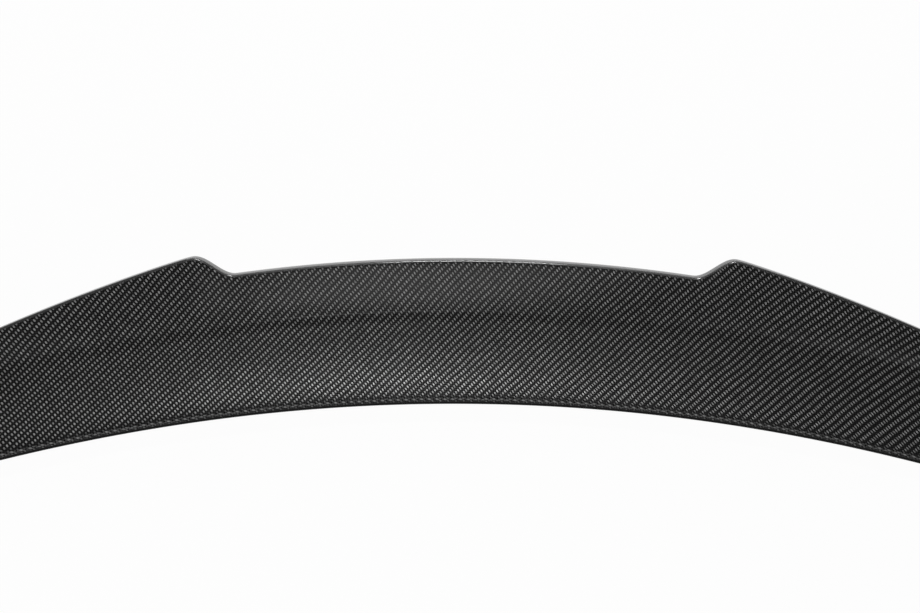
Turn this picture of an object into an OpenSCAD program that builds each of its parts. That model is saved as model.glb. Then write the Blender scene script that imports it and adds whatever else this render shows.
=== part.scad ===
// Boot-lid spoiler: one moulded laminate shell with a recessed centre between two raised shoulders,
// open underneath, and the two strips of double-sided foam tape that hold it on the lid.
// X runs across the car, -Y is the leading edge, +Y the trailing lip, +Z up. Z = 0 is what it rests on.

/* [Overall form] */
// Width over both tips
width = 1200; // [1140:5:1260]
// Radius of the leading edge seen from above
plan_radius = 1580; // [1350:5:1900]
// Fall of the lid surface from the middle to a tip
crown = 16; // [12:0.5:20]
// Fall of the lid surface towards the rear, in degrees
lid_slope = 7; // [5:0.25:9]

/* [Faces] */
// Length of the lower face from the leading edge to the crease
lower_len = 97; // [88:0.5:106]
// Angle of the lower face, in degrees
lower_angle = 15; // [12:0.25:18]
// Depth to which the lower face is hollowed along its middle
lower_hollow = 2.7; // [0.5:0.1:3]
// Length of the kicked-up face in the middle recess
kick_len = 61; // [55:0.5:68]
// Angle of the kicked-up face, in degrees
kick_angle = 44; // [40:0.5:48]
// Loss of length of the kicked-up face from the middle to the end of the recess
kick_bow = 2.8; // [0:0.1:4]
// Radius of the soft crease between the two faces
crease_r = 30; // [20:1:34]

/* [Shoulders] */
// Extra length of the kicked-up face at the shoulders
shoulder_rise = 24.5; // [14:0.5:30]
// Distance from the middle at which the recess ends
recess_half = 242; // [200:1:280]
// Width of the step from the recess up to a shoulder
step_w = 45; // [30:1:60]
// Loss of length of the kicked-up face per millimetre outboard of a shoulder
shoulder_fall = 0.16; // [0.08:0.01:0.18]
// Distance over which that loss sets in
fall_ease = 8; // [4:1:40]

/* [Edges and wall] */
// Thickness of the laminate
wall = 2.4; // [1.8:0.1:2.8]
// Radius of the rolled leading edge
nose_r = 5; // [4.4:0.1:5.6]
// Radius of the trailing lip, at the top of the kicked-up face
lip_r = 4.4; // [4:0.1:4.8]
// Length of the bevel that rolls the lip over to the rear
bevel_len = 5; // [4:0.5:7]
// Fall of that bevel, in degrees
bevel_fall = 35; // [30:1:40]
// Radius from the bevel down into the rear wall
bevel_r = 3; // [3:0.1:4]
// Radius of the rear foot
foot_r = 3.2; // [3:0.1:4]

/* [Underside] */
// Distance from the leading edge to the back of the rear foot
foot_run = 106; // [98:0.5:112]
// Width of the front land, behind the rolled edge
land_w = 15; // [14:0.5:16]
// Width of the rear flange, ahead of the foot
flange_w = 14; // [13.5:0.5:15]

/* [Tips] */
// Length over which each end falls and closes
tip_len = 120; // [90:5:140]
// Length of the rounded front corner of each tip
corner_len = 46; // [35:1:60]
// How far that corner is drawn back
corner_back = 32; // [24:1:34]
// Radius of the leading edge at a tip
tip_nose_r = 3; // [3:0.1:3.6]
// Height of the crease above the underside at a tip
tip_crease_h = 10; // [9:0.5:12]
// Height of the lip's centre above the underside at a tip
tip_lip_h = 13.5; // [13:0.5:15]
// Length of the lip's bevel at a tip
tip_bevel = 3; // [2:0.5:4]
// Distance from the leading edge to the crease at a tip
tip_crease_run = 54; // [52:0.5:54.5]
// Distance from the leading edge to the back of the foot at a tip
tip_foot_run = 72; // [71:0.5:78]
// Thickness of the closed end wall
end_wall = 3; // [2:0.5:4]

/* [Adhesive tape] */
// Width of each tape strip
tape_w = 12; // [9:0.5:12.5]
// Thickness of the foam tape
tape_t = 1.1; // [0.8:0.1:1.6]
// Thickness of the release liner
liner_t = 0.2; // [0.15:0.05:0.3]
// Distance of each strip from the start of the flat it is stuck to
tape_inset = 1; // [0.5:0.1:1.2]
// Distance from the middle to the outer end of each strip
tape_half = 555; // [480:5:560]
// Number of lengths of tape that make up each strip
tape_lengths = 5; // [3:1:7]
// Gap between two lengths of tape
tape_gap = 6; // [2:1:12]

/* [Hidden] */

half = width / 2;
inner_half = half - end_wall;
tip_start = half - tip_len;
end_power = 2.2;

// Steps round each curve of the section
nose_steps = 8;
inner_nose_steps = 4;
hollow_steps = 3;
crease_steps = 6;
lip_steps = 6;
bevel_steps = 5;
foot_steps = 4;

// Steps along the width: the middle, each shoulder step and each tip
mid_steps = 6;
step_steps = 12;
flank_steps = 5;
tip_steps = 11;

carbon_black = [0.16, 0.16, 0.17];
foam_black = [0.1, 0.1, 0.1];
liner_red = [0.78, 0.12, 0.14];

// Small helpers: a unit direction, a blend between two values and a smooth step from 0 to 1
function dir(a) = [cos(a), sin(a)];
function mix(a, b, t) = a + (b - a) * t;
function clip(t) = min(1, max(0, t));
function flat(lists) = [for (l = lists) for (v = l) v];
function ease(t) = clip(t) * clip(t) * (3 - 2 * clip(t));
function arc(centre, r, a0, a1, steps) = [for (i = [0:steps]) centre + r * dir(mix(a0, a1, i / steps))];

// How much of the full section is left at a distance from the middle: 1 inboard of an end, 0 at its tip
function fullness(x, start) = pow(1 - pow(clip((abs(x) - start) / (half - start)), end_power), 1 / end_power);

// The hollow follows the same form as the outside, drawn in by the end wall
function drawn_in(x) = abs(x) < tip_start ? abs(x)
    : min(half, tip_start + (abs(x) - tip_start) * tip_len / (tip_len - end_wall));

// The leading edge seen from above, and the lid surface that the spoiler is shaped to
function plan_y(x) = sqrt(plan_radius * plan_radius - x * x) - plan_radius;
function lid_fall(x, y) = crown * pow(x / half, 2) + tan(lid_slope) * y;

// Runs and heights of one section, worked out at x with the end form taken at e
function nose_at(e) = mix(tip_nose_r, nose_r, fullness(e, tip_start));
function nose_run(e) = mix(corner_back, 0, fullness(e, half - corner_len)) + nose_at(e);
function foot_centre_run(e) = mix(tip_foot_run, foot_run, fullness(e, tip_start)) - foot_r;

// Edges of the two tape strips
function front_tape_front(x) = plan_y(x) + nose_run(drawn_in(x)) + tape_inset;
function front_tape_back(x) = front_tape_front(x) + tape_w;
function rear_tape_back(x) = plan_y(x) + foot_centre_run(drawn_in(x)) - tape_inset;
function rear_tape_front(x) = rear_tape_back(x) - tape_w;

// Where each length of tape begins and ends
length_x = (2 * tape_half + tape_gap) / tape_lengths - tape_gap;
function length_start(i) = -tape_half + i * (length_x + tape_gap);
tape_ends = flat([for (i = [0:tape_lengths - 1])
    [for (x = [length_start(i), length_start(i) + length_x]) if (x > 0) x]]);

// Stations from the middle out to a limit: at each end of tape and each shoulder's peak, even in the
// middle and on the flank, closer at the shoulder's step and towards the tip
step_start = recess_half - 6;
flank_start = recess_half + step_w + 30;
function sorted(v) = len(v) < 2 ? v
    : let(pivot = v[floor(len(v) / 2)])
    concat(sorted([for (x = v) if (x < pivot) x]), [pivot], sorted([for (x = v) if (x > pivot) x]));
half_stations = sorted(concat(
    tape_ends,
    [recess_half + step_w],
    [for (i = [0:mid_steps]) step_start * i / mid_steps],
    [for (i = [1:step_steps]) mix(step_start, flank_start, i / step_steps)],
    [for (i = [1:flank_steps]) mix(flank_start, tip_start, i / flank_steps)],
    [for (i = [1:tip_steps]) tip_start + tip_len * sin(90 * i / tip_steps)]
));
station_gap = 0.01;
function stations_to(limit) = concat([for (x = half_stations) if (x < limit - station_gap) x], [limit]);
function both_sides(list) = concat(
    [for (i = [len(list) - 1:-1:1]) -list[i]],
    list
);

// The lid surface stands at the height at which the lowest point of the liners touches the ground
stack_t = tape_t + liner_t;
lid_z = max([for (x = stations_to(tape_half)) lid_fall(x, rear_tape_back(x))]);

function lid_at(x, y) = lid_z - lid_fall(x, y);
function under_at(x, y) = lid_at(x, y) + stack_t;
function above(x, y, h) = [y, under_at(x, y) + h];

// Gain of the kicked-up face towards the shoulders, and its loss outboard of them
function past_peak(x) = max(0, abs(x) - recess_half - step_w);
function shoulder(x) = shoulder_rise * ease((abs(x) - recess_half) / step_w)
    - shoulder_fall * past_peak(x) * past_peak(x) / (past_peak(x) + fall_ease);
function kick_run(x) = kick_len - kick_bow * pow(x / recess_half, 2) + shoulder(x);

// Corner of the crease and centre of the lip on the full section, as runs and heights from the underside
function full_crease(x) =
    let(run = lower_len * cos(lower_angle), rise = nose_r + lower_len * sin(lower_angle))
    [run, rise + tan(lid_slope) * run];
function full_lip(x) =
    let(step = (kick_run(x) - lip_r) * dir(kick_angle) + lip_r * dir(kick_angle - 90))
    full_crease(x) + step + [0, tan(lid_slope) * step.x];
tip_crease = [tip_crease_run, tip_crease_h];
tip_lip = [tip_foot_run - lip_r - tip_bevel * cos(bevel_fall), tip_lip_h];

// Centres and corners that carry one section
function nose_c(x, e) = above(x, plan_y(x) + nose_run(e), nose_at(e) / cos(lid_slope));
function foot_c(x, e) = above(x, plan_y(x) + foot_centre_run(e), foot_r / cos(lid_slope));
function crease_k(x, e) =
    let(p = mix(tip_crease, full_crease(x), fullness(e, tip_start)))
    above(x, plan_y(x) + p.x, p.y);
function lip_c(x, e) =
    let(p = mix(tip_lip, full_lip(x), fullness(e, tip_start)))
    above(x, plan_y(x) + p.x, p.y);
function bevel_c(x, e) =
    let(run = mix(tip_bevel, bevel_len, fullness(e, tip_start)))
    lip_c(x, e) + run * dir(-bevel_fall) + (lip_r - bevel_r) * dir(bevel_a);

// The hollow of the lower face is a corner at its middle, let down and rounded over a share of the face,
// and it fades out towards the tips
hollow_share = 0.6;
hollow_at_tip = 0.15;
hollow_drop = lower_hollow / (1 - hollow_share / 2);
hollow_r = hollow_share * pow(lower_len / 2, 2) / hollow_drop;
function hollow_k(x, e) =
    let(v = crease_k(x, e) - nose_c(x, e), left = mix(hollow_at_tip, 1, fullness(e, tip_start)))
    let(drop = hollow_drop * left * pow(norm(v) / lower_len, 2))
    nose_c(x, e) + v / 2 + (nose_at(e) / 2 - drop) * [-v.y, v.x] / norm(v);

// Directions square to the faces: underside, bevel, both halves of the lower face, kicked-up face and
// rear wall
under_a = -90 - lid_slope;
bevel_a = 90 - bevel_fall;
function angle_of(v) = atan2(v.y, v.x);
function front_a(x, e) =
    let(v = hollow_k(x, e) - nose_c(x, e))
    angle_of(v) + acos(nose_at(e) / norm(v));
function lower_a(x, e) = angle_of(crease_k(x, e) - hollow_k(x, e)) + 90;
function kick_a(x, e) =
    let(v = lip_c(x, e) - crease_k(x, e))
    angle_of(v) + acos(-lip_r / norm(v));
function rear_a(x, e) =
    let(v = bevel_c(x, e) - foot_c(x, e))
    angle_of(v) - acos((foot_r - bevel_r) / norm(v));

// Centres of the hollow's and the crease's radius, above the surface
function round_c(corner, r, a0, a1) = corner + r / cos((a1 - a0) / 2) * dir((a0 + a1) / 2);
function hollow_c(x, e) = round_c(hollow_k(x, e), hollow_r, front_a(x, e), lower_a(x, e));
function crease_c(x, e) = round_c(crease_k(x, e), crease_r, lower_a(x, e), kick_a(x, e));

// Inner edges of the front land and of the rear flange
function land_y(x) = plan_y(x) + nose_run(drawn_in(x)) + land_w;
function flange_y(x) = plan_y(x) + foot_centre_run(drawn_in(x)) - flange_w;

// The outside of one section, from the land's inner edge over the top to the flange's inner edge
function outer_section(x) =
    let(e = abs(x), a_front = front_a(x, e), a_low = lower_a(x, e))
    let(a_kick = kick_a(x, e), a_rear = rear_a(x, e))
    concat(
        [above(x, land_y(x), 0)],
        arc(nose_c(x, e), nose_at(e), under_a + 360, a_front, nose_steps),
        arc(hollow_c(x, e), hollow_r, a_front + 180, a_low + 180, hollow_steps),
        arc(crease_c(x, e), crease_r, a_low + 180, a_kick + 180, crease_steps),
        arc(lip_c(x, e), lip_r, a_kick, bevel_a, lip_steps),
        arc(bevel_c(x, e), bevel_r, bevel_a, a_rear, bevel_steps),
        arc(foot_c(x, e), foot_r, a_rear, under_a, foot_steps),
        [above(x, flange_y(x), 0)]
    );

// The inside of one section, one wall in from the outside, back from the flange to the land
function inner_section(x) =
    let(e = drawn_in(x), a_front = front_a(x, e), a_low = lower_a(x, e))
    let(a_kick = kick_a(x, e), a_rear = rear_a(x, e), lift = wall / cos(lid_slope))
    concat(
        [above(x, flange_y(x), lift)],
        arc(foot_c(x, e), foot_r - wall, under_a, a_rear, foot_steps),
        arc(bevel_c(x, e), bevel_r - wall, a_rear, bevel_a, bevel_steps),
        arc(lip_c(x, e), lip_r - wall, bevel_a, a_kick, lip_steps),
        arc(crease_c(x, e), crease_r + wall, a_kick + 180, a_low + 180, crease_steps),
        arc(hollow_c(x, e), hollow_r + wall, a_low + 180, a_front + 180, hollow_steps),
        arc(nose_c(x, e), nose_at(e) - wall, a_front, under_a + 360, inner_nose_steps),
        [above(x, land_y(x), lift)]
    );

// The origin lies below the middle of the outline's depth
front_y = min([for (x = half_stations) nose_c(x, x).x - nose_at(x)]);
back_y = max([for (x = half_stations) bevel_c(x, x).x]) + bevel_r;
mid_y = (front_y + back_y) / 2;
function in_space(x, section) = [for (p = section) [x, p.x - mid_y, p.y]];

inner_stations = both_sides(stations_to(inner_half));
tip_stations = concat(
    [for (x = half_stations) if (x > inner_half + station_gap && x < half - station_gap) x],
    [half]
);
outer_stations = concat(
    [for (i = [len(tip_stations) - 1:-1:0]) -tip_stations[i]],
    inner_stations,
    tip_stations
);

// Two triangles for each cell between neighbouring rows of points, mirrored on the left half
function cell(a, b, c, d, left) = left ? [[a, b, d], [b, c, d]] : [[a, b, c], [a, c, d]];

// The shell: outer skin, inner skin, the rims that join them and the closed ends
module spoiler_shell() {
    m = len(outer_section(0));
    k = len(inner_section(0));
    n = len(outer_stations);
    first = len(tip_stations);
    last = first + len(inner_stations) - 1;
    middle = (n - 1) / 2;
    inner_at = n * m;
    points = concat(
        flat([for (x = outer_stations) in_space(x, outer_section(x))]),
        flat([for (x = inner_stations) in_space(x, inner_section(x))])
    );
    function out(i, j) = i * m + j;
    function inn(i, j) = inner_at + (i - first) * k + j;
    skin = flat([for (i = [0:n - 2]) for (j = [0:m - 2])
        cell(out(i, j), out(i, j + 1), out(i + 1, j + 1), out(i + 1, j), i < middle)]);
    lining = flat([for (i = [first:last - 1]) for (j = [0:k - 2])
        cell(inn(i, j), inn(i, j + 1), inn(i + 1, j + 1), inn(i + 1, j), i < middle)]);
    rims = flat([for (i = [first:last - 1]) concat(
        cell(out(i, m - 1), inn(i, 0), inn(i + 1, 0), out(i + 1, m - 1), i < middle),
        cell(inn(i, k - 1), out(i, 0), out(i + 1, 0), inn(i + 1, k - 1), i < middle)
    )]);
    sills = flat([for (i = [0:n - 2]) if (i < first || i >= last)
        cell(out(i, m - 1), out(i, 0), out(i + 1, 0), out(i + 1, m - 1), i < middle)]);
    ends = [
        [for (j = [m - 1:-1:0]) out(0, j)],
        [for (j = [0:m - 1]) out(n - 1, j)],
        concat([out(first, m - 1)], [out(first, 0)], [for (j = [k - 1:-1:0]) inn(first, j)]),
        concat([out(last, 0)], [out(last, m - 1)], [for (j = [0:k - 1]) inn(last, j)])
    ];
    color(carbon_black)
        polyhedron(points, concat(skin, lining, rims, sills, ends), convexity = 6);
}

// The stations along one length of tape
function stations_between(x0, x1) = concat(
    [x0],
    [for (x = both_sides(half_stations)) if (x > x0 + station_gap && x < x1 - station_gap) x],
    [x1]
);

// A flat strip in lengths that follow the underside between two runs of Y, from one height to another
module strip(front, back, top, bottom) {
    for (i = [0:tape_lengths - 1])
        tape_piece(stations_between(length_start(i), length_start(i) + length_x), front, back, top, bottom);
}

module tape_piece(stations, front, back, top, bottom) {
    n = len(stations);
    points = flat([for (x = stations) in_space(x, [
        above(x, front(x), top),
        above(x, back(x), top),
        above(x, back(x), bottom),
        above(x, front(x), bottom)
    ])]);
    sides = flat([for (i = [0:n - 2]) for (j = [0:3])
        cell(4 * i + j, 4 * i + (j + 1) % 4, 4 * i + 4 + (j + 1) % 4, 4 * i + 4 + j, stations[i] < 0)]);
    first_end = [3, 2, 1, 0];
    last_end = [for (j = [0:3]) 4 * (n - 1) + j];
    polyhedron(points, concat([first_end], sides, [last_end]), convexity = 4);
}

// Foam tape under the leading edge, in lengths laid end to end round the curve
module front_tape() {
    color(foam_black)
        strip(function(x) front_tape_front(x), function(x) front_tape_back(x), 0, -tape_t);
}

// Foam tape under the rear flange
module rear_tape() {
    color(foam_black)
        strip(function(x) rear_tape_front(x), function(x) rear_tape_back(x), 0, -tape_t);
}

// Release liner that covers the front tape until it is fitted
module front_tape_liner() {
    color(liner_red)
        strip(function(x) front_tape_front(x), function(x) front_tape_back(x), -tape_t, -stack_t);
}

// Release liner that covers the rear tape until it is fitted
module rear_tape_liner() {
    color(liner_red)
        strip(function(x) rear_tape_front(x), function(x) rear_tape_back(x), -tape_t, -stack_t);
}

spoiler_shell();
front_tape();
rear_tape();
front_tape_liner();
rear_tape_liner();
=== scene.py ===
import math

import bpy
import numpy as np
from mathutils import Matrix, Vector


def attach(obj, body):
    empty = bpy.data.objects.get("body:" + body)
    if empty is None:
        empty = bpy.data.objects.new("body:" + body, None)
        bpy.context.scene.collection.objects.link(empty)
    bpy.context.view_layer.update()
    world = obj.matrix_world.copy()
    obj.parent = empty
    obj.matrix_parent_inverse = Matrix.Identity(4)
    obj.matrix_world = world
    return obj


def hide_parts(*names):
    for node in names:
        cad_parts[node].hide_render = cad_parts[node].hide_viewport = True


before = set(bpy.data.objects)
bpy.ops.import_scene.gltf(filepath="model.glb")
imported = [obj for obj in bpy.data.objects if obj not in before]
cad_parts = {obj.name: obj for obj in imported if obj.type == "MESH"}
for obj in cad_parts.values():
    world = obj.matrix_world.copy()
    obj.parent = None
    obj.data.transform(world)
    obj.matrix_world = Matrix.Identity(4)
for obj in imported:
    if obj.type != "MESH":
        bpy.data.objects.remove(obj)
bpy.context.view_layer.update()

# Camera.
# A short telephoto view down on the leading edge, square to the middle of the spoiler. The roll is the small
# turn that the horizon of the picture has.
view_target = Vector((-0.0049, 0.0690, 0.0684))
view_elevation = math.radians(52)
view_distance = 1.300
view_roll = 0.0056
picture_width_px = 920
focal_length_px = 1238

camera_data = bpy.data.cameras.new("camera")
camera_data.sensor_width = 36
camera_data.lens = focal_length_px / picture_width_px * camera_data.sensor_width
camera_data.clip_start = 0.01
camera_data.clip_end = 50
camera = bpy.data.objects.new("camera", camera_data)
bpy.context.scene.collection.objects.link(camera)
forward = Vector((0, math.cos(view_elevation), -math.sin(view_elevation)))
upright = Vector((0, math.sin(view_elevation), math.cos(view_elevation)))
sideways = Vector((1, 0, 0))
right = math.cos(view_roll) * sideways + math.sin(view_roll) * upright
above = right.cross(forward)
turned = Matrix((right, above, -forward)).transposed().to_4x4()
camera.matrix_world = Matrix.Translation(view_target - view_distance * forward) @ turned
bpy.context.scene.camera = camera


# Laminate shell.
# The spoiler itself: one moulding of 3K carbon-fibre twill in epoxy, 2.4 mm thick, laid up in a female mould,
# trimmed underneath, then flatted and clear-coated outside. Its section is six rounds joined by straight
# faces: the sizes give rails for their centres, and a node tree bends the section round the rails.
half_width = 0.600
plan_radius = 1.580
crown = 0.016
lid_slope = math.radians(7)
lower_length = 0.097
lower_angle = math.radians(15)
lower_hollow = 0.0027
hollow_share = 0.6
hollow_at_tip = 0.15
kick_length = 0.061
kick_angle = math.radians(44)
kick_bow = 0.0028
crease_radius = 0.030
hollow_drop = lower_hollow / (1 - hollow_share / 2)
hollow_radius = hollow_share * (lower_length / 2) ** 2 / hollow_drop
shoulder_rise = 0.0245
recess_half = 0.242
step_width = 0.045
shoulder_fall = 0.16
fall_ease = 0.008
laminate = 0.0024
nose_radius = 0.005
tip_nose_radius = 0.003
lip_radius = 0.0044
bevel_length = 0.005
bevel_fall = math.radians(35)
bevel_radius = 0.003
foot_radius = 0.0032
foot_run = 0.106
land_width = 0.015
flange_width = 0.014
tip_length = 0.120
corner_length = 0.046
corner_back = 0.032
tip_crease = (0.054, 0.010)
tip_lip_height = 0.0135
tip_bevel = 0.003
tip_foot_run = 0.072
end_wall = 0.003
end_power = 2.2
stack_height = 0.0013
tape_half = 0.555
tape_inset = 0.001
tip_start = half_width - tip_length
inner_half = half_width - end_wall


def fullness(x, start):
    """How much of the full section is left at x: 1 inboard of start, 0 at the tip."""
    past = np.clip((np.abs(x) - start) / (half_width - start), 0, 1)
    return (1 - past**end_power) ** (1 / end_power)


def drawn_in(x):
    """The place on the outside whose form the hollow has at x, drawn in by the end wall."""
    stretched = tip_start + (np.abs(x) - tip_start) * tip_length / (tip_length - end_wall)
    return np.where(np.abs(x) < tip_start, np.abs(x), np.minimum(half_width, stretched))


def plan(x):
    """The leading edge seen from above."""
    return np.sqrt(plan_radius**2 - x**2) - plan_radius


def nose_size(place):
    """The radius of the leading edge, which thins towards the tips."""
    return tip_nose_radius + (nose_radius - tip_nose_radius) * fullness(place, tip_start)


def nose_run(place):
    return corner_back * (1 - fullness(place, half_width - corner_length)) + nose_size(place)


def foot_centre_run(place):
    return tip_foot_run + (foot_run - tip_foot_run) * fullness(place, tip_start) - foot_radius


def lid_fall(x, y):
    return crown * (x / half_width) ** 2 + math.tan(lid_slope) * y


def rail(x, run, rise):
    """A line of points at a run behind the leading edge and a rise above the underside."""
    y = plan(x) + run
    return np.stack([x, y, lid_height - lid_fall(x, y) + stack_height + rise], axis=1)


def section_rails(x, place):
    """The rails of the stations at x, with the form that the ends have at place."""
    lower = np.array(
        [lower_length * math.cos(lower_angle), nose_radius + lower_length * math.sin(lower_angle)]
    )
    lower[1] += math.tan(lid_slope) * lower[0]
    past_peak = np.maximum(0, np.abs(x) - recess_half - step_width)
    step = np.clip((np.abs(x) - recess_half) / step_width, 0, 1)
    shoulder = shoulder_rise * step * step * (3 - 2 * step) - shoulder_fall * past_peak**2 / (
        past_peak + fall_ease
    )
    kick = kick_length - kick_bow * (x / recess_half) ** 2 + shoulder - lip_radius
    lip_run = lower[0] + kick * math.cos(kick_angle) + lip_radius * math.sin(kick_angle)
    lip_rise = lower[1] + kick * math.sin(kick_angle) - lip_radius * math.cos(kick_angle)
    lip_rise = lip_rise + math.tan(lid_slope) * (lip_run - lower[0])
    full = fullness(place, tip_start)
    nose = rail(x, nose_run(place), nose_size(place) / math.cos(lid_slope))
    crease = rail(
        x,
        tip_crease[0] + (lower[0] - tip_crease[0]) * full,
        tip_crease[1] + (lower[1] - tip_crease[1]) * full,
    )
    line = crease - nose
    span = np.linalg.norm(line, axis=1, keepdims=True)
    drop = hollow_drop * (hollow_at_tip + (1 - hollow_at_tip) * full[:, None]) * (span / lower_length) ** 2
    square = np.stack([np.zeros(len(x)), -line[:, 2], line[:, 1]], axis=1) / span
    tip_lip_run = tip_foot_run - lip_radius - tip_bevel * math.cos(bevel_fall)
    lip = rail(
        x, tip_lip_run + (lip_run - tip_lip_run) * full, tip_lip_height + (lip_rise - tip_lip_height) * full
    )
    down_bevel = np.array([0, math.cos(bevel_fall), -math.sin(bevel_fall)])
    off_bevel = np.array([0, math.sin(bevel_fall), math.cos(bevel_fall)])
    bevel = tip_bevel + (bevel_length - tip_bevel) * full
    return {
        "nose": nose,
        "hollow": nose + line / 2 + (nose_size(place)[:, None] / 2 - drop) * square,
        "crease": crease,
        "lip": lip,
        "bevel": lip + bevel[:, None] * down_bevel + (lip_radius - bevel_radius) * off_bevel,
        "foot": rail(x, foot_centre_run(place), foot_radius / math.cos(lid_slope)),
    }


# The lid stands where the lowest point of the liners touches the ground.
along = np.linspace(-tape_half, tape_half, 1111)
lid_height = lid_fall(along, plan(along) + foot_centre_run(drawn_in(along)) - tape_inset).max()

# Stations across the car: closer at the steps of the shoulders and towards the tips.
inboard = np.concatenate([
    np.linspace(0, recess_half - 0.006, 40)[:-1],
    np.linspace(recess_half - 0.006, recess_half + step_width + 0.030, 34)[:-1],
    np.linspace(recess_half + step_width + 0.030, tip_start, 26)[:-1],
    tip_start + tip_length * np.sin(np.linspace(0, math.pi / 2, 34)),
])
outer_half = inboard[(inboard < inner_half - 1e-5) | (inboard > inner_half + 1e-5)]
outer_half = np.sort(np.append(outer_half, inner_half))
hollow_half = outer_half[outer_half <= inner_half]
outer_x = np.concatenate([-outer_half[:0:-1], outer_half])
hollow_x = np.concatenate([-hollow_half[:0:-1], hollow_half])

# Where each point of the section lies: on which round, and how far round it.
round_steps = {"nose": 18, "hollow": 12, "crease": 18, "lip": 14, "bevel": 12, "foot": 10}
round_names = list(round_steps)
section_round = np.concatenate(
    [[0]] + [np.full(steps + 1, i + 1) for i, steps in enumerate(round_steps.values())] + [[7]]
)
section_turn = np.concatenate(
    [[0]] + [np.linspace(0, 1, steps + 1) for steps in round_steps.values()] + [[0]]
)
section_size = len(section_round)


def skin_attributes(x, place, lift):
    """Each point's rails, its round and its turn, for one skin of the shell."""
    rails = section_rails(x, place)
    land = rail(x, nose_run(drawn_in(x)) + land_width, lift / math.cos(lid_slope))
    flange = rail(x, foot_centre_run(drawn_in(x)) - flange_width, lift / math.cos(lid_slope))
    values = {name: np.repeat(rails[name], section_size, axis=0) for name in round_names}
    values["edge"] = np.where(
        (section_round == 0)[None, :, None], land[:, None], flange[:, None]
    ).reshape(-1, 3)
    values["round"] = np.tile(section_round, len(x))
    values["turn"] = np.tile(section_turn, len(x))
    values["inset"] = np.full(len(x) * section_size, lift)
    values["nose_radius"] = np.repeat(nose_size(place), section_size)
    return values


outer_values = skin_attributes(outer_x, np.abs(outer_x), 0.0)
hollow_values = skin_attributes(hollow_x, drawn_in(hollow_x), laminate)
values = {name: np.concatenate([outer_values[name], hollow_values[name]]) for name in outer_values}

# The origin lies below the middle of the outline's depth.
front_y = (outer_values["nose"][:, 1] - outer_values["nose_radius"]).min()
back_y = outer_values["bevel"][:, 1].max() + bevel_radius
for name in round_names + ["edge"]:
    values[name][:, 1] -= (front_y + back_y) / 2

outer_count = len(outer_x)
hollow_count = len(hollow_x)
first_hollow = int(np.argmin(np.abs(outer_x + inner_half)))
last_hollow = int(np.argmin(np.abs(outer_x - inner_half)))
hollow_start = outer_count * section_size


def outer_at(i, j):
    return i * section_size + j


def hollow_at(i, j):
    return hollow_start + (i - first_hollow) * section_size + j


last = section_size - 1
faces = [
    (outer_at(i, j), outer_at(i + 1, j), outer_at(i + 1, j + 1), outer_at(i, j + 1))
    for i in range(outer_count - 1)
    for j in range(last)
]
outer_faces = len(faces)
faces += [
    (hollow_at(i, j), hollow_at(i, j + 1), hollow_at(i + 1, j + 1), hollow_at(i + 1, j))
    for i in range(first_hollow, last_hollow)
    for j in range(last)
]
hollow_faces = len(faces)
for i in range(first_hollow, last_hollow):
    faces.append((outer_at(i, last), outer_at(i + 1, last), hollow_at(i + 1, last), hollow_at(i, last)))
    faces.append((outer_at(i, 0), hollow_at(i, 0), hollow_at(i + 1, 0), outer_at(i + 1, 0)))
rim_faces = len(faces)
for i in [*range(first_hollow), *range(last_hollow, outer_count - 1)]:
    faces.append((outer_at(i, last), outer_at(i + 1, last), outer_at(i + 1, 0), outer_at(i, 0)))
faces.append([outer_at(0, j) for j in range(section_size)])
faces.append([outer_at(outer_count - 1, j) for j in range(last, -1, -1)])
faces.append(
    [
        outer_at(first_hollow, 0), outer_at(first_hollow, last)
    ] + [hollow_at(first_hollow, j) for j in range(last, -1, -1)]
)
faces.append(
    [outer_at(last_hollow, last), outer_at(last_hollow, 0)] + [
        hollow_at(last_hollow, j) for j in range(section_size)
    ]
)

lay_up = bpy.data.meshes.new("lay_up")
lay_up.from_pydata(np.zeros((len(values["round"]), 3)).tolist(), [], [tuple(f) for f in faces])
for name in round_names + ["edge"]:
    lay_up.attributes.new(name, "FLOAT_VECTOR", "POINT").data.foreach_set(
        "vector", values[name].astype(np.float32).ravel()
    )
lay_up.attributes.new("round", "INT", "POINT").data.foreach_set("value", values["round"].astype(np.int32))
for name in ("turn", "inset", "nose_radius"):
    lay_up.attributes.new(name, "FLOAT", "POINT").data.foreach_set("value", values[name].astype(np.float32))


def add(tree, kind, inputs=(), **settings):
    """Adds one node with its settings, and sets or joins its inputs, given in order or by index."""
    node = tree.nodes.new(kind)
    for setting, value in settings.items():
        setattr(node, setting, value)
    for place, value in inputs.items() if isinstance(inputs, dict) else enumerate(inputs):
        if isinstance(value, bpy.types.Node):
            value = next(socket for socket in value.outputs if socket.enabled)
        if isinstance(value, bpy.types.NodeSocket):
            tree.links.new(value, node.inputs[place])
        elif value is not None:
            node.inputs[place].default_value = value
    return node


loft = bpy.data.node_groups.new("rounded section loft", "GeometryNodeTree")
loft.interface.new_socket("Geometry", in_out="INPUT", socket_type="NodeSocketGeometry")
loft_sizes = {
    "Hollow radius": hollow_radius,
    "Crease radius": crease_radius,
    "Lip radius": lip_radius,
    "Bevel radius": bevel_radius,
    "Foot radius": foot_radius,
    "Lid slope": lid_slope,
}
for label in loft_sizes:
    loft.interface.new_socket(label, in_out="INPUT", socket_type="NodeSocketFloat")
loft.interface.new_socket("Geometry", in_out="OUTPUT", socket_type="NodeSocketGeometry")
given = add(loft, "NodeGroupInput")
hollow_r, crease_r, lip_r, bevel_r, foot_r, slope = (given.outputs[label] for label in loft_sizes)
nose, hollow, crease, lip, bevel, foot, edge = (
    add(
        loft, "GeometryNodeInputNamedAttribute", [name], data_type="FLOAT_VECTOR"
    ) for name in round_names + ["edge"]
)
turn = add(loft, "GeometryNodeInputNamedAttribute", ["turn"], data_type="FLOAT")
inset = add(loft, "GeometryNodeInputNamedAttribute", ["inset"], data_type="FLOAT")
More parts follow.
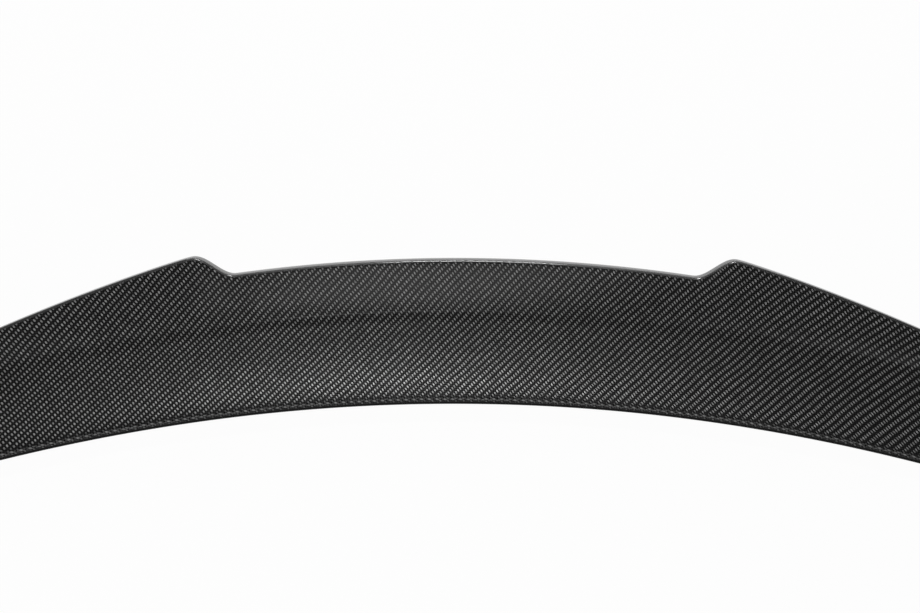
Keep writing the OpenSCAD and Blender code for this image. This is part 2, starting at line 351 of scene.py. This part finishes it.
nose_r = add(loft, "GeometryNodeInputNamedAttribute", ["nose_radius"], data_type="FLOAT")
which = add(loft, "GeometryNodeInputNamedAttribute", ["round"], data_type="INT")


def square_to_face(start, finish, gain, side):
    """The direction square to the straight face from start's round to finish's, which is gain larger."""
    line = add(loft, "ShaderNodeVectorMath", [finish, start], operation="SUBTRACT")
    axes = add(loft, "ShaderNodeSeparateXYZ", [line])
    heading = add(loft, "ShaderNodeMath", [axes.outputs[2], axes.outputs[1]], operation="ARCTAN2")
    span = add(loft, "ShaderNodeVectorMath", [line], operation="LENGTH")
    ratio = add(loft, "ShaderNodeMath", [gain, span], operation="DIVIDE")
    lean = add(loft, "ShaderNodeMath", [ratio], operation="ARCCOSINE")
    return add(loft, "ShaderNodeMath", [heading, lean], operation=side)


def hollow_round(corner, radius, first, second):
    """The centre of a round that fills the hollow corner between two faces."""
    total = add(loft, "ShaderNodeMath", [first, second], operation="ADD")
    middle = add(loft, "ShaderNodeMath", [total, 0.5], operation="MULTIPLY")
    opening = add(loft, "ShaderNodeMath", [second, middle], operation="SUBTRACT")
    narrowing = add(loft, "ShaderNodeMath", [opening], operation="COSINE")
    distance = add(loft, "ShaderNodeMath", [radius, narrowing], operation="DIVIDE")
    level = add(loft, "ShaderNodeMath", [middle], operation="COSINE")
    upward = add(loft, "ShaderNodeMath", [middle], operation="SINE")
    heading = add(loft, "ShaderNodeCombineXYZ", [0.0, level, upward])
    step = add(loft, "ShaderNodeVectorMath", {0: heading, 3: distance}, operation="SCALE")
    return add(loft, "ShaderNodeVectorMath", [corner, step], operation="ADD")


lip_loss = add(loft, "ShaderNodeMath", [lip_r, -1.0], operation="MULTIPLY")
bevel_gain = add(loft, "ShaderNodeMath", [bevel_r, lip_r], operation="SUBTRACT")
rear_gain = add(loft, "ShaderNodeMath", [foot_r, bevel_r], operation="SUBTRACT")
front_square = square_to_face(nose, hollow, nose_r, "ADD")
lower_square = square_to_face(hollow, crease, 0.0, "ADD")
kick_square = square_to_face(crease, lip, lip_loss, "ADD")
bevel_square = square_to_face(bevel, lip, bevel_gain, "SUBTRACT")
rear_square = square_to_face(foot, bevel, rear_gain, "SUBTRACT")
under_square = add(loft, "ShaderNodeMath", [-math.pi / 2, slope], operation="SUBTRACT")
hollow_centre = hollow_round(hollow, hollow_r, front_square, lower_square)
crease_centre = hollow_round(crease, crease_r, lower_square, kick_square)
nose_begin = add(loft, "ShaderNodeMath", [under_square, 2 * math.pi], operation="ADD")
hollow_begin = add(loft, "ShaderNodeMath", [front_square, math.pi], operation="ADD")
hollow_end = add(loft, "ShaderNodeMath", [lower_square, math.pi], operation="ADD")
crease_end = add(loft, "ShaderNodeMath", [kick_square, math.pi], operation="ADD")

# Each point turns about its own centre. The inset shrinks the outward rounds and opens the hollow ones.
nose_part = add(loft, "ShaderNodeMath", [nose_r, inset], operation="SUBTRACT")
hollow_size = add(loft, "ShaderNodeMath", [hollow_r, inset], operation="ADD")
crease_size = add(loft, "ShaderNodeMath", [crease_r, inset], operation="ADD")
lip_size = add(loft, "ShaderNodeMath", [lip_r, inset], operation="SUBTRACT")
bevel_size = add(loft, "ShaderNodeMath", [bevel_r, inset], operation="SUBTRACT")
foot_size = add(loft, "ShaderNodeMath", [foot_r, inset], operation="SUBTRACT")
size = add(loft, "GeometryNodeIndexSwitch", data_type="FLOAT")
begin = add(loft, "GeometryNodeIndexSwitch", data_type="FLOAT")
end = add(loft, "GeometryNodeIndexSwitch", data_type="FLOAT")
centre = add(loft, "GeometryNodeIndexSwitch", data_type="VECTOR")
for switch, choices in (
    (size, (0.0, nose_part, hollow_size, crease_size, lip_size, bevel_size, foot_size, 0.0)),
    (begin, (0.0, nose_begin, hollow_begin, hollow_end, kick_square, bevel_square, rear_square, 0.0)),
    (end, (0.0, front_square, hollow_end, crease_end, bevel_square, rear_square, under_square, 0.0)),
    (centre, (edge, nose, hollow_centre, crease_centre, lip, bevel, foot, edge)),
):
    while len(switch.index_switch_items) < len(choices):
        switch.index_switch_items.new()
    loft.links.new(which.outputs[0], switch.inputs[0])
    for place, choice in enumerate(choices, start=1):
        if choice == 0.0:
            switch.inputs[place].default_value = 0.0
        else:
            loft.links.new(next(s for s in choice.outputs if s.enabled), switch.inputs[place])
angle = add(loft, "ShaderNodeMix", {0: turn, 2: begin, 3: end}, data_type="FLOAT", clamp_factor=False)
angle_cos = add(loft, "ShaderNodeMath", [angle], operation="COSINE")
angle_sin = add(loft, "ShaderNodeMath", [angle], operation="SINE")
way = add(loft, "ShaderNodeCombineXYZ", [0.0, angle_cos, angle_sin])
reach = add(loft, "ShaderNodeVectorMath", {0: way, 3: size}, operation="SCALE")
point = add(loft, "ShaderNodeVectorMath", [centre, reach], operation="ADD")
bent = add(loft, "GeometryNodeSetPosition", {0: given.outputs[0], 2: point})
realized = add(loft, "GeometryNodeRealizeInstances", [bent])
coated = bpy.data.materials.new("clear_coated_carbon_twill")
coated_skin = add(loft, "GeometryNodeSetMaterial", {0: realized, 2: coated})
add(loft, "NodeGroupOutput", [coated_skin])

shell_blank = bpy.data.objects.new("shell_blank", lay_up)
bpy.context.scene.collection.objects.link(shell_blank)
bend = shell_blank.modifiers.new("loft", "NODES")
bend.node_group = loft
for item in loft.interface.items_tree:
    if item.in_out == "INPUT" and item.name in loft_sizes:
        bend[item.identifier] = loft_sizes[item.name]
shell_blank.modifiers.new("face weighted", "WEIGHTED_NORMAL")
bpy.context.view_layer.update()
moulding = bpy.data.meshes.new_from_object(shell_blank.evaluated_get(bpy.context.evaluated_depsgraph_get()))
bpy.data.objects.remove(shell_blank)

# The weave map is in metres of cloth: across the car, and up the section from the middle of the crease. The
# cloth lies a little straighter than the plan of the spoiler, its uprights lean to the right, and it is
# drawn slightly wider towards the ends.
cloth_straighter = 0.06
cloth_lean = 0.047
cloth_lean_growth = 0.07
cloth_draw = 0.14
crease_middle_at = int(np.argmax((section_round == 3) & (section_turn >= 0.5)))


def weave_coordinates(points, x):
    """Cloth coordinates of a skin's points, given as rows of stations by section points."""
    steps = np.linalg.norm(np.diff(points, axis=1), axis=2)
    up = np.concatenate([np.zeros((len(x), 1)), np.cumsum(steps, axis=1)], axis=1)
    up = up - up[:, crease_middle_at : crease_middle_at + 1]
    across = x[:, None] * (1 - cloth_draw * x[:, None] ** 2) - up * (
        cloth_lean + cloth_lean_growth * x[:, None]
    )
    return np.stack([across, up - cloth_straighter * x[:, None] ** 2], axis=2)


points = np.zeros(len(moulding.vertices) * 3)
moulding.vertices.foreach_get("co", points)
points = points.reshape(-1, 3)
weave = np.concatenate([
    weave_coordinates(points[:hollow_start].reshape(outer_count, section_size, 3), outer_x).reshape(-1, 2),
    weave_coordinates(
        points[hollow_start:].reshape(hollow_count, section_size, 3), hollow_x
    ).reshape(-1, 2),
])
corner_vertices = np.zeros(len(moulding.loops), np.int32)
moulding.loops.foreach_get("vertex_index", corner_vertices)
weave_map = moulding.uv_layers.new(name="weave")
weave_map.data.foreach_set("uv", weave[corner_vertices].astype(np.float32).ravel())
for name in round_names + ["edge", "round", "turn", "inset", "nose_radius"]:
    moulding.attributes.remove(moulding.attributes[name])

# Painted sheen on the lip: there the tows' colour gives way to one plain grey band, which stands for the
# light that the tows drawn tight round the lip catch all along it.
on_lip = (section_round == 4) * np.clip((section_turn - 0.12) / 0.16, 0, 1)
on_bevel = (section_round == 5) * np.clip(1.6 - 2 * section_turn, 0, 1)
painted_lip_sheen = moulding.attributes.new("painted_lip_sheen", "FLOAT", "POINT")
painted_lip_sheen.data.foreach_set(
    "value", np.tile(on_lip + on_bevel, outer_count + hollow_count).astype(np.float32)
)

# How far the cloth has gone over the leading edge: 0 to 1 along the flat strip before it, 1 to 2 round it.
over_edge = (section_round == 1) * (2 - section_turn)
edge_turn = moulding.attributes.new("edge_turn", "FLOAT", "POINT")
edge_turn.data.foreach_set("value", np.tile(over_edge, outer_count + hollow_count).astype(np.float32))

slots = np.zeros(len(moulding.polygons), np.int32)
slots[outer_faces:hollow_faces] = 1
slots[hollow_faces:rim_faces] = 2
slots[rim_faces:-4] = 1
slots[-2:] = 1
under = np.tile(np.isin(np.arange(last), (0, last - 1)), outer_count - 1)
slots[:outer_faces][under] = 1
# The underside of the leading edge's roll takes the painted-shade black resin.
roll_under = np.tile(
    (section_round[1:] == 1) & (section_turn[1:] > 0) & (section_turn[1:] < 0.7), outer_count - 1
)
slots[:outer_faces][roll_under] = 3
moulding.polygons.foreach_set("material_index", slots)
moulding.polygons.foreach_set("use_smooth", slots != 2)


def linear(hex_colour):
    """An sRGB hex colour as the linear colour that nodes take."""
    parts = [int(hex_colour[i : i + 2], 16) / 255 for i in (1, 3, 5)]
    return (*(c / 12.92 if c <= 0.04045 else ((c + 0.055) / 1.055) ** 2.4 for c in parts), 1.0)


# Clear-coated 2x2 twill: every tow goes over two and under two, one tow further on in each row, so the
# uprights make slanting rows of short strokes, with the cross tows sunk between them. The fibres are near
# black: the light grey of the upright strokes and the dark grey of the cross tows are painted sheen, brightest
# in the middles of the strokes. A smooth lacquer lies over it. Reaches and wander are in tows, and the painted
# shade and painted glint at the leading edge in turns over the edge.
tow_across = 0.00203
tow_up = 0.00225
tow_wander = 1.2
wander_scale = 22.0
peel_scale = 260.0
upright_reach = (1.95, 0.47)
cross_reach = (1.7, 0.5)
painted_shade_from = 0.76
painted_shade_to = 0.97
glint_middle = 1.135
glint_core = 0.02
glint_reach = 0.11
stroke_slant = 0.4357
cross_slant = 0.387
coated.use_nodes = True
tree = coated.node_tree
tree.nodes.clear()
cloth = add(tree, "ShaderNodeUVMap", uv_map="weave")
wander = add(tree, "ShaderNodeTexNoise", {0: cloth, 2: wander_scale, 3: 1.0}, noise_dimensions="2D")
wander_axes = add(tree, "ShaderNodeSeparateColor", [wander.outputs[1]])
cloth_axes = add(tree, "ShaderNodeSeparateXYZ", [cloth])
columns_straight = add(
    tree, "ShaderNodeMath", [cloth_axes.outputs[0], 1 / tow_across], operation="MULTIPLY"
)
rows_straight = add(tree, "ShaderNodeMath", [cloth_axes.outputs[1], 1 / tow_up], operation="MULTIPLY")
columns = add(
    tree, "ShaderNodeMath", [wander_axes.outputs[0], tow_wander, columns_straight], operation="MULTIPLY_ADD"
)
rows = add(
    tree, "ShaderNodeMath", [wander_axes.outputs[1], tow_wander, rows_straight], operation="MULTIPLY_ADD"
)
diagonal = add(tree, "ShaderNodeMath", [columns, rows], operation="SUBTRACT")
stroke_shift = add(tree, "ShaderNodeMath", [diagonal, 0.5], operation="SUBTRACT")
stroke_run = add(tree, "ShaderNodeMath", [stroke_shift, 2.0, -2.0], operation="WRAP")
stroke_line = add(tree, "ShaderNodeMath", [stroke_run, -stroke_slant, columns], operation="MULTIPLY_ADD")
stroke_part = add(tree, "ShaderNodeMath", [stroke_line], operation="FRACT")
stroke_side = add(tree, "ShaderNodeMath", [stroke_part, 0.5], operation="SUBTRACT")
cross_shift = add(tree, "ShaderNodeMath", [diagonal, 2.5], operation="SUBTRACT")
cross_run = add(tree, "ShaderNodeMath", [cross_shift, 2.0, -2.0], operation="WRAP")
cross_line = add(tree, "ShaderNodeMath", [cross_run, cross_slant, rows], operation="MULTIPLY_ADD")
cross_part = add(tree, "ShaderNodeMath", [cross_line], operation="FRACT")
cross_side = add(tree, "ShaderNodeMath", [cross_part, 0.5], operation="SUBTRACT")

# Each stroke is a lens: full in its middle, and gone where the tow dives under its neighbours.
lenses = []
for run, side, (half_run, half_side) in (
    (stroke_run, stroke_side, upright_reach),
    (cross_run, cross_side, cross_reach),
):
    run_part = add(tree, "ShaderNodeMath", [run, 1 / half_run], operation="MULTIPLY")
    run_square = add(tree, "ShaderNodeMath", [run_part, run_part], operation="MULTIPLY")
    side_part = add(tree, "ShaderNodeMath", [side, 1 / half_side], operation="MULTIPLY")
    both = add(tree, "ShaderNodeMath", [side_part, side_part, run_square], operation="MULTIPLY_ADD")
    lenses.append(add(tree, "ShaderNodeMath", [1.0, both], operation="SUBTRACT", use_clamp=True))
upright_lens, cross_lens = lenses
stroke_column = add(tree, "ShaderNodeMath", [stroke_line], operation="FLOOR")
stroke_row = add(tree, "ShaderNodeMath", [stroke_shift, stroke_run], operation="SUBTRACT")
stroke_number = add(tree, "ShaderNodeCombineXYZ", [stroke_column, stroke_row, 0.0])
stroke_shade = add(tree, "ShaderNodeTexWhiteNoise", {0: stroke_number}, noise_dimensions="2D")
tow_gain = add(tree, "ShaderNodeMapRange", {0: stroke_shade, 3: 0.6, 4: 1.0})
upright_face = add(
    tree, "ShaderNodeMapRange", {0: upright_lens, 1: 0.42, 2: 1.0}, interpolation_type="SMOOTHSTEP"
)
upright_open = add(tree, "ShaderNodeMath", [upright_face, tow_gain], operation="MULTIPLY")

# Painted shade and painted glint at the leading edge: before it the uprights' sheen is painted darker, as
# they tip away from the light, and on its roll the cross tows are painted with a bright glint, as they catch
# it.
edge_way = add(tree, "ShaderNodeAttribute", attribute_name="edge_turn")
edge_painted_shade = add(
    tree,
    "ShaderNodeMapRange",
    {0: edge_way.outputs[2], 1: painted_shade_from, 2: painted_shade_to, 3: 1.0, 4: 0.3},
    interpolation_type="SMOOTHSTEP",
)
upright_fill = add(tree, "ShaderNodeMath", [upright_open, edge_painted_shade], operation="MULTIPLY")
edge_apart = add(tree, "ShaderNodeMath", [edge_way.outputs[2], glint_middle], operation="SUBTRACT")
edge_gap = add(tree, "ShaderNodeMath", [edge_apart], operation="ABSOLUTE")
edge_painted_glint = add(
    tree,
    "ShaderNodeMapRange",
    {0: edge_gap, 1: glint_core, 2: glint_reach, 3: 1.0, 4: 0.0},
    interpolation_type="SMOOTHSTEP",
)
cross_painted_glint = add(
    tree, "ShaderNodeMix", {0: edge_painted_glint, 6: linear("#343434"), 7: linear("#bcbcbc")}, data_type="RGBA"
)
# Painted sheen: the cross tows' dark grey over near-black gaps, for the light that their fibres catch.
cross_painted_sheen = add(
    tree,
    "ShaderNodeMix",
    {0: cross_lens, 6: linear("#020202"), 7: cross_painted_glint.outputs[2]},
    data_type="RGBA",
)
# Painted sheen: the uprights' light grey over the cross tows, for the light that the upright fibres catch.
tow_painted_sheen = add(
    tree,
    "ShaderNodeMix",
    {0: upright_fill, 6: cross_painted_sheen.outputs[2], 7: linear("#d0d0d0")},
    data_type="RGBA",
)

# The lip's painted grey sheen lies over both. The relief of the tows, the way of their fibres and the lacquer
# follow.
band = add(tree, "ShaderNodeAttribute", attribute_name="painted_lip_sheen")
face_painted_sheen = add(
    tree,
    "ShaderNodeMix",
    {0: band.outputs[2], 6: tow_painted_sheen.outputs[2], 7: linear("#5c5c5c")},
    data_type="RGBA",
)
height = add(tree, "ShaderNodeMath", [upright_lens, cross_lens], operation="MAXIMUM")
tow_bump = add(tree, "ShaderNodeBump", {"Strength": 0.6, "Distance": 0.0002, "Height": height})
across_way = add(tree, "ShaderNodeTangent", direction_type="UV_MAP", uv_map="weave")
facing = add(tree, "ShaderNodeNewGeometry")
up_way = add(tree, "ShaderNodeVectorMath", [facing.outputs[1], across_way], operation="CROSS_PRODUCT")
on_top = add(tree, "ShaderNodeMath", [upright_lens, cross_lens], operation="GREATER_THAN")
fibre_side = add(tree, "ShaderNodeMix", {0: on_top, 4: up_way, 5: across_way}, data_type="VECTOR")
peel = add(tree, "ShaderNodeTexNoise", {0: cloth, 2: peel_scale, 3: 2.0}, noise_dimensions="2D")
peel_bump = add(tree, "ShaderNodeBump", {"Strength": 0.015, "Distance": 0.0002, "Height": peel})
surface = add(tree, "ShaderNodeBsdfPrincipled", {
    "Base Color": face_painted_sheen.outputs[2],
    "Metallic": 0.4,
    "Roughness": 0.38,
    "Specular IOR Level": 0.0,
    "Anisotropic": 0.3,
    "Coat Weight": 1.0,
    "Coat Roughness": 0.05,
    "Coat IOR": 1.5,
    "Normal": tow_bump,
    "Coat Normal": peel_bump,
})
tree.links.new(fibre_side.outputs[1], surface.inputs["Tangent"])
add(tree, "ShaderNodeOutputMaterial", [surface])

# Bare laminate back: the bag side of the moulding, left as it comes off the peel ply. It is dark satin resin
# with the slanting ribs of the twill just showing, and the fine grid that the peel ply prints on it.
ply_grid = 0.0006
blotch_scale = 35.0
back = bpy.data.materials.new("bare_laminate_back")
back.use_nodes = True
tree = back.node_tree
tree.nodes.clear()
cloth = add(tree, "ShaderNodeUVMap", uv_map="weave")
cloth_axes = add(tree, "ShaderNodeSeparateXYZ", [cloth])
rib_across = add(tree, "ShaderNodeMath", [cloth_axes.outputs[0], 0.25 / tow_across], operation="MULTIPLY")
rib_line = add(
    tree, "ShaderNodeMath", [cloth_axes.outputs[1], -0.25 / tow_up, rib_across], operation="MULTIPLY_ADD"
)
rib = add(tree, "ShaderNodeMath", [rib_line, 0.5], operation="PINGPONG")
blotch = add(tree, "ShaderNodeTexNoise", {0: cloth, 2: blotch_scale, 3: 4.0}, noise_dimensions="2D")
rib_tone = add(tree, "ShaderNodeMath", [rib, blotch], operation="MULTIPLY")
back_colour = add(
    tree, "ShaderNodeMix", {0: rib_tone, 6: linear("#121213"), 7: linear("#3a3a3c")}, data_type="RGBA"
)
back_gloss = add(tree, "ShaderNodeMapRange", {0: blotch, 3: 0.36, 4: 0.62})
grid_waves = []
for axis in (0, 1):
    grid_turn = add(
        tree, "ShaderNodeMath", [cloth_axes.outputs[axis], 2 * math.pi / ply_grid], operation="MULTIPLY"
    )
    grid_waves.append(add(tree, "ShaderNodeMath", [grid_turn], operation="SINE"))
grid = add(tree, "ShaderNodeMath", grid_waves, operation="MULTIPLY")
relief = add(tree, "ShaderNodeMath", [rib, 0.6, grid], operation="MULTIPLY_ADD")
back_bump = add(tree, "ShaderNodeBump", {"Strength": 0.35, "Distance": 0.0001, "Height": relief})
surface = add(
    tree,
    "ShaderNodeBsdfPrincipled",
    {"Base Color": back_colour.outputs[2], "Roughness": back_gloss, "Normal": back_bump},
)
add(tree, "ShaderNodeOutputMaterial", [surface])

# Trimmed laminate edge: cut with a diamond wheel and rubbed down, so the six plies show as dull grey and
# black lines along the cut, with a little dust in them.
ply_thickness = 0.0004
dust_scale = 1400.0
trimmed = bpy.data.materials.new("trimmed_laminate_edge")
trimmed.use_nodes = True
tree = trimmed.node_tree
tree.nodes.clear()
where = add(tree, "ShaderNodeTexCoord")
where_axes = add(tree, "ShaderNodeSeparateXYZ", [where.outputs[3]])
ply_count = add(tree, "ShaderNodeMath", [where_axes.outputs[2], 0.5 / ply_thickness], operation="MULTIPLY")
ply_wave = add(tree, "ShaderNodeMath", [ply_count, 0.5], operation="PINGPONG")
dust = add(tree, "ShaderNodeTexNoise", {0: where.outputs[3], 2: dust_scale, 3: 3.0})
ply_tone = add(tree, "ShaderNodeMath", [ply_wave, dust], operation="MULTIPLY")
trimmed_colour = add(
    tree, "ShaderNodeMix", {0: ply_tone, 6: linear("#171717"), 7: linear("#5a5a58")}, data_type="RGBA"
)
trimmed_bump = add(tree, "ShaderNodeBump", {"Strength": 0.4, "Distance": 0.0001, "Height": dust})
surface = add(
    tree,
    "ShaderNodeBsdfPrincipled",
    {"Base Color": trimmed_colour.outputs[2], "Roughness": 0.75, "Normal": trimmed_bump},
)
add(tree, "ShaderNodeOutputMaterial", [surface])

# Painted shade under the leading edge: the underside of its roll is dull black resin without lacquer, so that
# it stays dark there. Fine scratches run along it.
scratch_stretch = (60.0, 2500.0, 2500.0)
shaded_edge_resin = bpy.data.materials.new("painted_shade_black_resin")
shaded_edge_resin.use_nodes = True
tree = shaded_edge_resin.node_tree
tree.nodes.clear()
where = add(tree, "ShaderNodeTexCoord")
along = add(tree, "ShaderNodeVectorMath", [where.outputs[3], scratch_stretch], operation="MULTIPLY")
scratch = add(tree, "ShaderNodeTexNoise", {0: along, 2: 1.0, 3: 2.0})
painted_shade_resin_colour = add(
    tree, "ShaderNodeMix", {0: scratch, 6: linear("#070707"), 7: linear("#151515")}, data_type="RGBA"
)
resin_bump = add(tree, "ShaderNodeBump", {"Strength": 0.2, "Distance": 0.00005, "Height": scratch})
surface = add(tree, "ShaderNodeBsdfPrincipled", {
    "Base Color": painted_shade_resin_colour.outputs[2],
    "Roughness": 0.6,
    "Specular IOR Level": 0.08,
    "Normal": resin_bump,
})
add(tree, "ShaderNodeOutputMaterial", [surface])

moulding.name = "spoiler_laminate"
for material in (back, trimmed, shaded_edge_resin):
    moulding.materials.append(material)
shell = bpy.data.objects.new("spoiler_laminate", moulding)
bpy.context.scene.collection.objects.link(shell)
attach(shell, "root")
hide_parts("spoiler_shell")


# Adhesive tape and its release liners.
# Two rows of 12 mm double-sided acrylic foam tape, laid in lengths under the leading edge and the rear flange,
# still covered by the red film that is peeled off before fixing. The CAD solids get their finishes here.
foam_cell_scale = 3200.0
foam = bpy.data.materials.new("closed_cell_acrylic_foam")
foam.use_nodes = True
tree = foam.node_tree
tree.nodes.clear()
where = add(tree, "ShaderNodeTexCoord")
cells = add(tree, "ShaderNodeTexVoronoi", {0: where.outputs[3], 2: foam_cell_scale})
cell_colour = add(
    tree,
    "ShaderNodeMix",
    {0: cells.outputs[0], 6: linear("#0c0c0c"), 7: linear("#2b2b2b")},
    data_type="RGBA",
)
cell_bump = add(tree, "ShaderNodeBump", {"Strength": 0.6, "Distance": 0.0001, "Height": cells.outputs[0]})
surface = add(
    tree,
    "ShaderNodeBsdfPrincipled",
    {"Base Color": cell_colour.outputs[2], "Roughness": 0.85, "Normal": cell_bump},
)
add(tree, "ShaderNodeOutputMaterial", [surface])

# Red polyethylene release film: thin and half glossy, with low ripples across it where it was unrolled.
ripple_stretch = (90.0, 35.0, 35.0)
film = bpy.data.materials.new("red_release_film")
film.use_nodes = True
tree = film.node_tree
tree.nodes.clear()
where = add(tree, "ShaderNodeTexCoord")
across_film = add(tree, "ShaderNodeVectorMath", [where.outputs[3], ripple_stretch], operation="MULTIPLY")
ripple = add(tree, "ShaderNodeTexNoise", {0: across_film, 2: 1.0, 3: 2.0, 8: 0.6})
film_colour = add(
    tree, "ShaderNodeMix", {0: ripple, 6: linear("#a3141c"), 7: linear("#d12a30")}, data_type="RGBA"
)
film_gloss = add(tree, "ShaderNodeMapRange", {0: ripple, 3: 0.22, 4: 0.4})
film_bump = add(tree, "ShaderNodeBump", {"Strength": 0.25, "Distance": 0.0008, "Height": ripple})
surface = add(tree, "ShaderNodeBsdfPrincipled", {
    "Base Color": film_colour.outputs[2],
    "Roughness": film_gloss,
    "Normal": film_bump,
})
add(tree, "ShaderNodeOutputMaterial", [surface])
for node_name, material in (
    ("front_tape", foam), ("rear_tape", foam), ("front_tape_liner", film), ("rear_tape_liner", film)
):
    for material_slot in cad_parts[node_name].material_slots:
        material_slot.material = material


# Studio.
# A white paper floor and a pale room, which show as plain white. They light the spoiler softly, together with
# a panel behind it, a soft box over it, and a small lamp before it that is graded like one behind cloth.
seen_share = 0.97
floor_half = 15
floor_mesh = bpy.data.meshes.new("floor")
floor_mesh.from_pydata(
    [(x * floor_half, y * floor_half, 0) for x, y in ((-1, -1), (1, -1), (1, 1), (-1, 1))],
    [],
    [(0, 1, 2, 3)],
)
floor = bpy.data.objects.new("floor", floor_mesh)
bpy.context.scene.collection.objects.link(floor)
paper = bpy.data.materials.new("white_paper")
paper.use_nodes = True
tree = paper.node_tree
tree.nodes.clear()
sheet = add(tree, "ShaderNodeBsdfDiffuse", [linear("#f7f7f7")])
glow = add(tree, "ShaderNodeEmission", [(1, 1, 1, 1), 1.0])
ray = add(tree, "ShaderNodeLightPath")
seen_plain = add(
    tree,
    "ShaderNodeMath",
    [ray.outputs["Is Camera Ray"], ray.outputs["Is Glossy Ray"]],
    operation="MAXIMUM",
)
seen = add(tree, "ShaderNodeMath", [seen_plain, ray.outputs["Is Transmission Ray"]], operation="MAXIMUM")
share = add(tree, "ShaderNodeMath", [seen, seen_share], operation="MULTIPLY")
mixed = add(tree, "ShaderNodeMixShader", [share, sheet, glow])
add(tree, "ShaderNodeOutputMaterial", [mixed])
floor_mesh.materials.append(paper)

world = bpy.data.worlds.new("studio")
world.use_nodes = True
tree = world.node_tree
tree.nodes.clear()
heading = add(tree, "ShaderNodeTexCoord")
heading_axes = add(tree, "ShaderNodeSeparateXYZ", [heading.outputs[0]])
room = add(
    tree,
    "ShaderNodeMapRange",
    {0: heading_axes.outputs[2], 1: 0.0, 2: 0.2, 3: 0.8, 4: 0.036},
    interpolation_type="SMOOTHSTEP",
)
total = room
for middle, stretch, narrow, wide, strength in (
    ((-0.06, 0.20, 0.98), (1, 1, 1), 0.05, 0.35, 0.08),
    ((-0.10, -0.84, 0.54), (0.45, 1, 1), 0.04, 0.15, 0.75),
):
    off_middle = add(tree, "ShaderNodeVectorMath", [heading.outputs[0], middle], operation="SUBTRACT")
    stretched = add(tree, "ShaderNodeVectorMath", [off_middle, stretch], operation="MULTIPLY")
    distance = add(tree, "ShaderNodeVectorMath", [stretched], operation="LENGTH")
    glow = add(
        tree,
        "ShaderNodeMapRange",
        {0: distance.outputs[1], 1: narrow, 2: wide, 3: strength, 4: 0.0},
        interpolation_type="SMOOTHSTEP",
    )
    total = add(tree, "ShaderNodeMath", [total, glow], operation="ADD")
ray = add(tree, "ShaderNodeLightPath")
sky_light = add(tree, "ShaderNodeMath", [total, ray.outputs["Is Camera Ray"]], operation="MAXIMUM")
sky = add(tree, "ShaderNodeBackground", {0: (1, 1, 1, 1), 1: sky_light})
add(tree, "ShaderNodeOutputWorld", [sky])
bpy.context.scene.world = world

for name, place, aim, across, deep, power, graded, seen in (
    ("back_panel", (0, 1.9, 0.75), (0, 0, 0.05), 2.4, 1.2, 18.0, False, True),
    ("soft_box", (-0.13, 0.85, 1.8), (0, 0, 0.05), 0.45, 0.20, 10.5, False, True),
    ("kick_light", (-0.075, -0.719, 0.831), (-0.073, 0.078, 0.078), 0.50, 0.21, 0.20, True, True),
    ("front_fill", (-0.3, -1.1, 0.32), (0, 0, 0.05), 0.6, 0.3, 4.6, False, False),
    ("ceiling_fill", (0, 0, 3.0), (0, 0, 0), 3.0, 3.0, 2.0, False, False),
):
    lamp_data = bpy.data.lights.new(name, "AREA")
    lamp_data.shape = "RECTANGLE"
    lamp_data.size = across
    lamp_data.size_y = deep
    lamp_data.energy = power
    if graded:
        lamp_data.use_nodes = True
        tree = lamp_data.node_tree
        tree.nodes.clear()
        spot = add(tree, "ShaderNodeNewGeometry")
        off_centre = add(
            tree,
            "ShaderNodeVectorMath",
            [spot.outputs["Parametric"], (0.5, 0.5, 0.0)],
            operation="SUBTRACT",
        )
        spot_axes = add(tree, "ShaderNodeSeparateXYZ", [off_centre])
        strength = 1.0
        for axis, full in ((0, 0.08), (1, 0.12)):
            from_middle = add(tree, "ShaderNodeMath", [spot_axes.outputs[axis]], operation="ABSOLUTE")
            fade = add(
                tree,
                "ShaderNodeMapRange",
                {0: from_middle, 1: full, 2: 0.5, 3: 1.0, 4: 0.0},
                interpolation_type="SMOOTHSTEP",
            )
            strength = add(tree, "ShaderNodeMath", [strength, fade], operation="MULTIPLY")
        shone = add(tree, "ShaderNodeEmission", [(1, 1, 1, 1), strength])
        add(tree, "ShaderNodeOutputLight", [shone])
    lamp = bpy.data.objects.new(name, lamp_data)
    bpy.context.scene.collection.objects.link(lamp)
    lamp.location = place
    lamp.rotation_euler = (Vector(aim) - Vector(place)).to_track_quat("-Z", "Y").to_euler()
    lamp.visible_glossy = seen

bpy.context.scene.view_settings.view_transform = "Standard"
